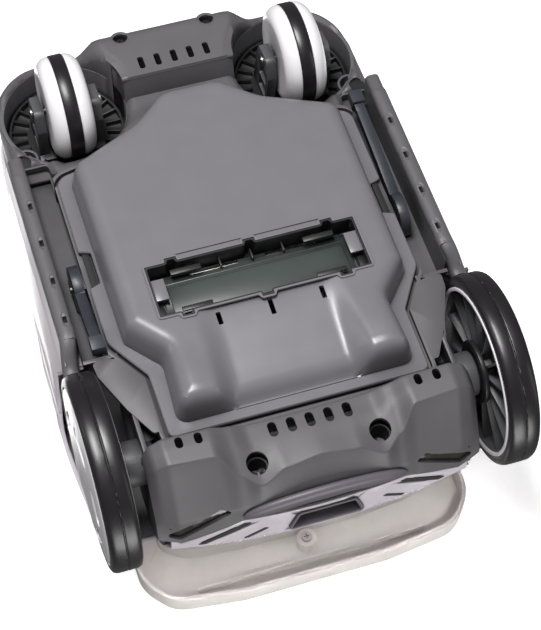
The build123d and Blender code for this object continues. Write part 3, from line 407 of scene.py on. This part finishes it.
lid = make("lid_shell", *joined([(verts, faces), ring]), "lid", LOOK["lid_grey"], "lid_grey", 40)
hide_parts("bottom_lid")

# ---- intake: clipped-in frame and flap ------------------------------------------------------------------
def prism(ring_out, ring_in, z0, z1):
    """Flat ring between two outlines of equal direction, from z0 to z1."""
    faces2 = terrain(ring_out, [ring_in], [], 500.0, lambda x, y, d: z0)
    return thick(*faces2, lambda x, y, z: (x, y, z1))


rim = prism(shifted(opening, -1.5), shifted(opening, 0.05), LID_TOP - 0.9, LID_TOP + 0.6)
# the wall of the opening is black as painted shade; the bars and teeth with it are black as well
wall = prism(shifted(opening, 0.3), shifted(opening, 1.6), LID_TOP - 0.4, 36.0)
bits, shade_and_black_bits = [rim], [wall]
for k in (-1, 1):
    low, high = sorted((k * 71.5, k * 82.6))
    bits.append(block((low, 40, 20.2), (high, 59, 22.4), 0.5))
    low, high = sorted((k * 40.5, k * 65))
    shade_and_black_bits.append(block((low, 33.2, 21.6), (high, 38.2, 24.4), 0.8))
    low, high = sorted((k * 41, k * 65))
    shade_and_black_bits.append(block((low, 67.6, 21.6), (high, 71.6, 23.6), 0.7))
    low, high = sorted((k * 76.5, k * 82.6))
    shade_and_black_bits.append(block((low, 59, 27), (high, 73, 28.2), 0.3))
for x in (-50, -25, 0, 25, 50):
    shade_and_black_bits.append(block((x - 0.7, 29.2, 26), (x + 0.7, 38, 30), 0.2))
make("intake_frame_inner", *joined(shade_and_black_bits), "lid", LOOK["black_plastic"], "black_plastic", 35)
frame_piece = make("intake_frame_detail", *joined(bits), "lid", LOOK["lid_grey"], "lid_grey", 35)
bevel = frame_piece.modifiers.new("edge", "BEVEL")
bevel.width, bevel.segments, bevel.limit_method = 0.25 * MM, 2, "ANGLE"
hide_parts("intake_frame")

flap_bits = [block((-78, 36.5, 30.6), (78, 72, 32.0), 0.5), block((-75.5, 40, 29.9), (75.5, 41, 31), 0.3),
             block((-75.5, 70, 29.9), (75.5, 71, 31), 0.3), block((-75.5, 40, 29.9), (-74.5, 71, 31), 0.3),
             block((74.5, 40, 29.9), (75.5, 71, 31), 0.3), block((-70, 43.5, 29.7), (70, 69, 31), 0.9)]
make("intake_flap_panel", *joined(flap_bits), "flap", LOOK["flap_green_grey"], "flap_green_grey", 35)

# ---- front of the chassis: bumper block flowing into the corners round the casters -----------------------
CX, CY, WELL = 98.0, -167.0, 50.9
CORNER_SCREW = (143, -127, 6.6)      # x, y and radius of the wells, as is BLOCK_SCREW
BLOCK_SCREW = (37.3, -214, 6.2)
front_half = [(56, -231.7), (61, -226.3), (152.3, -226.3), (153.8, -117.5), (125.2, -117.5), (123.5, -104),
              (112, -101.5), (86, -107), (33, -136.5)]
front_outline = rounded(both(front_half), [3, 6, 54, 2, 3, 5, 6, 30, 5, 5, 30, 6, 5, 3, 2, 54, 6, 3], 2.2)


def circle(x, y, r, count=40):
    return [Vector((x + r * math.cos(2 * math.pi * k / count), y + r * math.sin(2 * math.pi * k / count)))
            for k in range(count)]


front_holes = [circle(s * CX, CY, WELL, 90) for s in (1, -1)]
front_holes += [circle(s * CORNER_SCREW[0], *CORNER_SCREW[1:], 28) for s in (1, -1)]
front_holes += [circle(s * BLOCK_SCREW[0], *BLOCK_SCREW[1:], 24) for s in (1, -1)]
front_holes += [rounded([(i * 13.9 - 2.5, -188), (i * 13.9 + 2.5, -188), (i * 13.9 + 2.5, -175.4),
                         (i * 13.9 - 2.5, -175.4)], [1.8] * 4, 1.0) for i in range(-2, 3)]


def front_height(x, y, d):
    ax = abs(x)
    low = 36.7 + 22.0 * max(0.0, (-211 - y) / 20.6) ** 1.9
    w = 48 + 7 * ramp(-170, -222, y)
    mask = (1 - ramp(w, w + 24, ax)) * ramp(-165.2, -168.2, y)
    base = 57.0 + 1.5 * ramp(-180, -120, y)
    # the seat of the lid draws the surface up to its own rim
    seat = 1 - ramp(2, 20, d)
    rear = ramp(-170, -130, y) * (1 - ramp(118, 126, ax))
    base -= 7.0 * seat * rear
    z = base - (base - low) * mask
    # rolled edges: outer rim, wells and screw wells
    if y < -120 and (ax > 60 or y < -225):
        z += 13.0 * max(0.0, 1 - d / 10.0) ** 2 * (1 - mask)
    r = math.hypot(ax - CX, y - CY) - WELL
    z += 4.4 * max(0.0, 1 - r / 6.5) ** 2
    for hx, hy, hr in (CORNER_SCREW, BLOCK_SCREW):
        e = math.hypot(ax - hx, y - hy) - hr
        z += 1.0 * max(0.0, 1 - e / 1.6) ** 2
    return z


front = terrain(front_outline, front_holes, [1.5, 3.2, 5.5, 8.0], 2.6, front_height)
front = thick(*front, lambda x, y, z: (x, y, max(z + 1.5, 64.2)))
make("chassis_front_skin", *front, "body", LOOK["chassis_grey"], "chassis_grey", 40)

# black discs closing the corner screw wells: painted shade in the holes
cups = [prism_z(circle(s * CORNER_SCREW[0], CORNER_SCREW[1], 6.9, 28), 62.6, 64.0) for s in (1, -1)]
make("chassis_corner_screw_cups", *joined(cups), "body", LOOK["black_plastic"], "black_plastic", 30)

# ---- rear skirt: moulded underside with two shoulders, slots, screw wells and window openings ---------------
SKIRT = [  # x, then y and z of lip, mid, crease, low and top
    (0, (168.5, 38.4), (184, 37.6), (207.5, 38.6), (222.5, 61), (224, 79)),
    (28, (168.5, 38.4), (186, 38), (210, 41), (222, 62), (223.6, 79)),
    (47, (168.5, 38), (192, 39), (216, 48), (221.5, 65), (223, 81)),
    (61, (168.5, 33), (184, 34), (207, 42.5), (220, 67.5), (222, 83)),
    (76, (168.5, 27.6), (179, 27.2), (193, 28.8), (218, 70), (221, 88)),
    (110, (168.5, 26.2), (179, 26.2), (191, 27.6), (213.5, 76), (217, 101)),
    (121, (169.5, 30.5), (179, 30.5), (189.6, 33), (210, 79.5), (214.5, 97)),
    (126, (171, 42), (179, 42), (187, 45), (208.6, 81), (213, 95)),
]


def skirt_row(x):
    """Lip, mid, crease, low and top of the skirt's section at x."""
    x = abs(x)
    for a, b in zip(SKIRT, SKIRT[1:]):
        if x <= b[0]:
            t = (x - a[0]) / (b[0] - a[0])
            if a[0] < 76:
                t = t * t * (3 - 2 * t) * 0.75 + t * 0.25
            return [Vector(p).lerp(Vector(q), t) for p, q in zip(a[1:], b[1:])]
    return [Vector(p) for p in SKIRT[-1][1:]]


def skirt_line(x, inner):
    """The section as a rounded line of a fixed number of points."""
    lip, mid, crease, low, top = skirt_row(x)
    front = Vector((lip.x - 0.3, 52))
    pts = [front, lip, mid, crease, low, top]
    if inner:
        moves = [(2.5, 0), (2.5, 2.6), (0, 2.6), (-1, 2.6), (-2.6, 1), (-2.6, 0)]
        pts = [p + Vector(m) for p, m in zip(pts, moves)]
    line = []
    for i, r in enumerate((0, 2.4, 0, 1.3, 2.0, 0)):
        c = pts[i]
        if r:
            a = c + (pts[i - 1] - c).normalized() * r
            b = c + (pts[i + 1] - c).normalized() * r
            line += [a.lerp(c, k / 4).lerp(c.lerp(b, k / 4), k / 4) for k in range(5)]
        else:
            line.append(c)
        if i < 5:
            line += [line[-1].lerp(pts[i + 1], k / 5) for k in (1, 2, 3)]
    return line


def skirt_solid():
    xs = [-126 + 252 * k / 126 for k in range(127)]
    verts, faces = [], []
    rows = []
    for inner in (0, 1):
        for x in xs:
            rows.append([len(verts) + k for k in range(len(skirt_line(x, inner)))])
            verts += [(x, p.x, p.y) for p in skirt_line(x, inner)]
    n, m = len(xs), len(rows[0])
    for g in (0, 1):
        for i in range(n - 1):
            r, q = rows[g * n + i], rows[g * n + i + 1]
            faces += [[r[k], q[k], q[k + 1], r[k + 1]] for k in range(m - 1)]
    for i in range(n - 1):
        for k in (0, m - 1):
            faces.append([rows[i][k], rows[i + 1][k], rows[n + i + 1][k], rows[n + i][k]])
    for i in (0, n - 1):
        faces += [[rows[i][k], rows[i][k + 1], rows[n + i][k + 1], rows[n + i][k]] for k in range(m - 1)]
    return verts, faces


def slot_outline(x, y, width, length):
    r = width / 2 * 0.96
    return rounded([(x - width / 2, y - length / 2), (x + width / 2, y - length / 2),
                    (x + width / 2, y + length / 2), (x - width / 2, y + length / 2)], [r] * 4, 0.8)


def carve(obj, cutters):
    """Cuts closed meshes out of the piece."""
    for verts, faces in cutters:
        mesh = bpy.data.meshes.new("cutter")
        mesh.from_pydata([tuple(c * MM for c in v) for v in verts], [], faces)
        bm = bmesh.new()
        bm.from_mesh(mesh)
        bmesh.ops.recalc_face_normals(bm, faces=bm.faces)
        bm.to_mesh(mesh)
        bm.free()
        tool = bpy.data.objects.new("cutter", mesh)
        bpy.context.scene.collection.objects.link(tool)
        cut = obj.modifiers.new("cut", "BOOLEAN")
        cut.operation, cut.solver, cut.object = "DIFFERENCE", "EXACT", tool
        graph = bpy.context.evaluated_depsgraph_get()
        new = bpy.data.meshes.new_from_object(obj.evaluated_get(graph))
        obj.modifiers.remove(cut)
        obj.data = new
        bpy.data.objects.remove(tool)
    obj.data.shade_smooth()
    obj.data.set_sharp_from_angle(angle=math.radians(34))


SCREW_X, SCREW_Y = 47.0, 200.0
WINDOW = [(69.5, 70.5), (79.5, 67.3), (121.8, 91.5), (110, 97.4)]
skirt = make("rear_skirt_shell", *skirt_solid(), "body", LOOK["skirt_grey"], "skirt_grey", 34)
cutters = [prism_z(slot_outline(i * 14.3, 178.5, 6.6, 12.4), 20, 60) for i in range(-2, 3)]
cutters += [prism_z(slot_outline(s * x, 175.4, 5.8, 9.2), 10, 60) for s in (1, -1) for x in (84, 98.4)]
cutters += [prism_z(circle(s * SCREW_X, SCREW_Y, 8.2, 36), 30, 58) for s in (1, -1)]
window_rings = {s: rounded([(s * x, z) for x, z in WINDOW], [2, 2, 3, 2], 1.2) for s in (1, -1)}
for ring2 in window_rings.values():
    verts, faces = prism_z([(p[0], p[1]) for p in ring2], 190, 250)
    cutters.append(([(x, z, y) for x, y, z in verts], faces))
carve(skirt, cutters)
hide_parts("rear_skirt")


def skirt_y(x, z):
    """Distance to the rear of the skirt's outer face at x and height z."""
    lip, mid, crease, low, top = skirt_row(x)
    for p, q in ((crease, low), (low, top)):
        if z <= q.y:
            return p.x + (q.x - p.x) * (z - p.y) / (q.y - p.y)
    return top.x


def upright(sheet2, depth):
    """Sheet made in (x, z, y) turned into a solid of the given depth along y."""
    verts, faces = thick(*sheet2, lambda x, z, y: (x, z, y - depth))
    return [(x, y, z) for x, z, y in verts], faces


for s, side in ((1, "left"), (-1, "right")):
    ring2 = window_rings[s]
    if s < 0:
        ring2 = list(reversed(ring2))
    lens = terrain(shifted(ring2, 0.25), [], [], 4.0, lambda x, z, d: skirt_y(x, z) - 1.4 - 1.2 * ramp(6, 0, d))
    make("window_lens_" + side, *upright(lens, 2.0), "body", LOOK["smoked_lens"], "smoked_lens", 40)
    # black tube lining the screw well: painted shade in the hole
    verts, faces = prism(circle(s * SCREW_X, SCREW_Y, 8.2, 36), circle(s * SCREW_X, SCREW_Y, 6.9, 36), 47.5, 76)
    make("skirt_screw_well_" + side, verts, faces, "body", LOOK["black_plastic"], "black_plastic", 34)

# bumper strip: slim crescent over the lower edge
strip_v, strip_f = [], []
SECTION = 14
xs = [-64 + 128 * k / 64 for k in range(65)]
for x in xs:
    t = abs(x) / 64
    fade = (1 - t ** 6) ** 0.6
    for k in range(SECTION):
        a = 2 * math.pi * k / SECTION
        c, d = (math.copysign(abs(v) ** 0.75, v) for v in (math.cos(a), math.sin(a)))
        strip_v.append((x, 225.4 - 3.4 * t * t + (3.3 * fade + 0.4) * d,
                        63.8 + 12.5 * t * t + (6.8 * fade + 0.3) * c))
for i in range(len(xs) - 1):
    for k in range(SECTION):
        p, q = i * SECTION, (i + 1) * SECTION
        strip_f.append([p + k, p + (k + 1) % SECTION, q + (k + 1) % SECTION, q + k])
strip_f += [list(range(SECTION)), [len(strip_v) - SECTION + k for k in reversed(range(SECTION))]]
strip = make("bumper_strip_crescent", strip_v, strip_f, "body", LOOK["strip_grey"], "chassis_grey", 60)
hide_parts("bumper_strip")


def fascia_y(x):
    """Outer face of the white fascia, an arc through its middle and its two ends."""
    r = (117 ** 2 + 12 ** 2) / 24
    return 226 - r + math.sqrt(r * r - x * x)


# slits on the fascia drawn as black sheets on its face, painted shade in place of openings, and the row of beads
# along its edge
fascia_bits = []
for s in (1, -1):
    for pts in ([(57, 86), (63, 85), (99, 110.5), (92, 110.5)],
                [(44, 100), (48, 98.8), (65, 110.2), (60, 110.4)]):
        ring2 = rounded([(s * x, z) for x, z in pts], [0.8] * 4, 1.2)
        if s < 0:
            ring2 = list(reversed(ring2))
        fascia_bits.append(upright(terrain(ring2, [], [], 4.0, lambda x, z, d: fascia_y(x) + 0.25), 0.8))
make("fascia_slits", *joined(fascia_bits), "body", LOOK["black_plastic"], "black_plastic", 30)
beads = []
for k in range(11):
    for s in (1, -1):
        x = s * (38 + k * 4.6)
        beads.append(block((x - 1.4, fascia_y(x) - 1.0, 111.2), (x + 1.4, fascia_y(x) + 0.8, 113.6), 0.7))
make("fascia_beads", *joined(beads), "body", LOOK["shell_white"], "shell_white", 60)
NODES["jet_bezel"].data.materials[0] = LOOK["strip_grey"]
NODES["chassis_screws"].data.materials[0] = LOOK["screw_dark"]
for side in ("left", "right"):
    NODES["turntable_" + side].data.materials[0] = LOOK["black_plastic"]

# ---- side rails: rounded bars with half-moon notches ---------------------------------------------------------
for s, side in ((1, "left"), (-1, "right")):
    rail_v, rail_f = [], []
    ys = [-104 + 186 * k / 124 for k in range(125)]
    N = 16
    for y in ys:
        dip = 0.0
        for c in (-66.5, -30, 6.5, 43):
            e = abs(y - c) / 5.2
            dip = max(dip, math.sqrt(max(0.0, 1 - e * e)))
        end = ramp(-104, -98, y)
        flare = ramp(52, 82, y)
        cx = 151.2 + 4.0 * flare
        top_z = 37.4 + 2.2 * (1 - end) + 15 * flare ** 1.5
        hw = 6.6
        for k in range(N):
            a = math.pi * k / (N - 1)
            x = cx + hw * math.cos(a)
            z = top_z + 7 - 7 * math.sin(a) ** 0.6
            inboard = max(0.0, -math.cos(a))
            z += 6.5 * dip * ramp(0.0, 0.35, inboard)
            x += 3.6 * dip * ramp(0.0, 0.7, inboard)
            rail_v.append((s * x, y, z))
        rail_v.append((s * (cx - hw + 1), y, top_z + 14))
        rail_v.append((s * (cx + hw - 1), y, top_z + 14))
    M = N + 2
    for i in range(len(ys) - 1):
        for k in range(M):
            p, q = i * M, (i + 1) * M
            order = [p + k, p + (k + 1) % M, q + (k + 1) % M, q + k]
            rail_f.append(order)
    rail_f += [list(range(M)), [len(rail_v) - M + k for k in reversed(range(M))]]
    make("side_rail_" + side, rail_v, rail_f, "body", LOOK["chassis_grey"], "chassis_grey", 50)

# ---- floor and lights (seen from one side, and by the camera only) -------------------------------------------------------------------------------
def one_sided(name, z, facing):
    """Pale floor that is seen from one side only; facing is the Z it faces."""
    mesh = bpy.data.meshes.new(name)
    s = 6.0
    pts = [(-s, -s, z), (s, -s, z), (s, s, z), (-s, s, z)]
    mesh.from_pydata(pts, [], [(0, 1, 2, 3) if facing > 0 else (3, 2, 1, 0)])
    obj = bpy.data.objects.new(name, mesh)
    bpy.context.scene.collection.objects.link(obj)
    mat, tree, bsdf = shader(name)
    bsdf.inputs["Base Color"].default_value = (0.93, 0.93, 0.93, 1)
    bsdf.inputs["Roughness"].default_value = 0.9
    bsdf.inputs["Specular IOR Level"].default_value = 0.1
    bsdf.inputs["Emission Color"].default_value = (1, 1, 1, 1)
    bsdf.inputs["Emission Strength"].default_value = 0.5
    geo = tree.nodes.new("ShaderNodeNewGeometry")
    clear = tree.nodes.new("ShaderNodeBsdfTransparent")
    mix = tree.nodes.new("ShaderNodeMixShader")
    tree.links.new(geo.outputs["Backfacing"], mix.inputs["Fac"])
    tree.links.new(bsdf.outputs["BSDF"], mix.inputs[1])
    tree.links.new(clear.outputs["BSDF"], mix.inputs[2])
    tree.links.new(mix.outputs["Shader"], tree.nodes["Material Output"].inputs["Surface"])
    mesh.materials.append(mat)
    obj.visible_diffuse = obj.visible_glossy = obj.visible_shadow = obj.visible_transmission = False
    return obj


one_sided("floor", -0.0005, 1)
one_sided("table_under_the_upturned_machine", cad_box[1][2] + 0.0005, -1)

world = bpy.data.worlds.new("world")
bpy.context.scene.world = world
world.use_nodes = True
world.node_tree.nodes["Background"].inputs["Color"].default_value = (1, 1, 1, 1)
world.node_tree.nodes["Background"].inputs["Strength"].default_value = 0.16
# the backdrop itself is seen white, whatever light it gives
seen = world.node_tree.nodes.new("ShaderNodeBackground")
seen.inputs["Color"].default_value = (1, 1, 1, 1)
path = world.node_tree.nodes.new("ShaderNodeLightPath")
pick = world.node_tree.nodes.new("ShaderNodeMixShader")
links = world.node_tree.links
links.new(path.outputs["Is Camera Ray"], pick.inputs["Fac"])
links.new(world.node_tree.nodes["Background"].outputs["Background"], pick.inputs[1])
links.new(seen.outputs["Background"], pick.inputs[2])
links.new(pick.outputs["Shader"], world.node_tree.nodes["World Output"].inputs["Surface"])

centre = Vector((0, 0, 0.11))


def area(name, offset, size, power, target=centre, color=(1, 1, 1)):
    data = bpy.data.lights.new(name, "AREA")
    data.shape = "RECTANGLE"
    data.size, data.size_y = size
    data.energy = power
    data.color = color
    obj = bpy.data.objects.new(name, data)
    bpy.context.scene.collection.objects.link(obj)
    obj.location = target + offset
    obj.rotation_mode = "QUATERNION"
    obj.rotation_quaternion = (-offset).to_track_quat("-Z", "Y")
    return obj


toward = -forward
area("main_below", Vector((-0.35, 0.02, -2.2)), (1.1, 0.5), 60)
area("left_strip", toward * 0.7 - view_right * 1.8 + view_up * 0.5, (0.3, 1.5), 3.2)
area("front_fill", toward * 2.3, (1.5, 1.3), 2)
area("low_strip", toward * 0.9 + view_right * 1.7 - view_up * 0.3, (0.3, 1.2), 2.5)
area("key_above", Vector((-0.12, -1.5, 1.8)), (1.2, 1.0), 22)
area("fill_above", Vector((1.6, -0.6, 1.2)), (1.4, 1.2), 12)
beam = area("handle_beam", Vector((0, 0.40, -0.62)), (0.34, 0.04), 0.05, Vector((0, 0.214, 0.212)))
beam.data.spread = math.radians(11)
area("back_above", Vector((0.1, 1.9, 0.8)), (1.4, 0.8), 22)
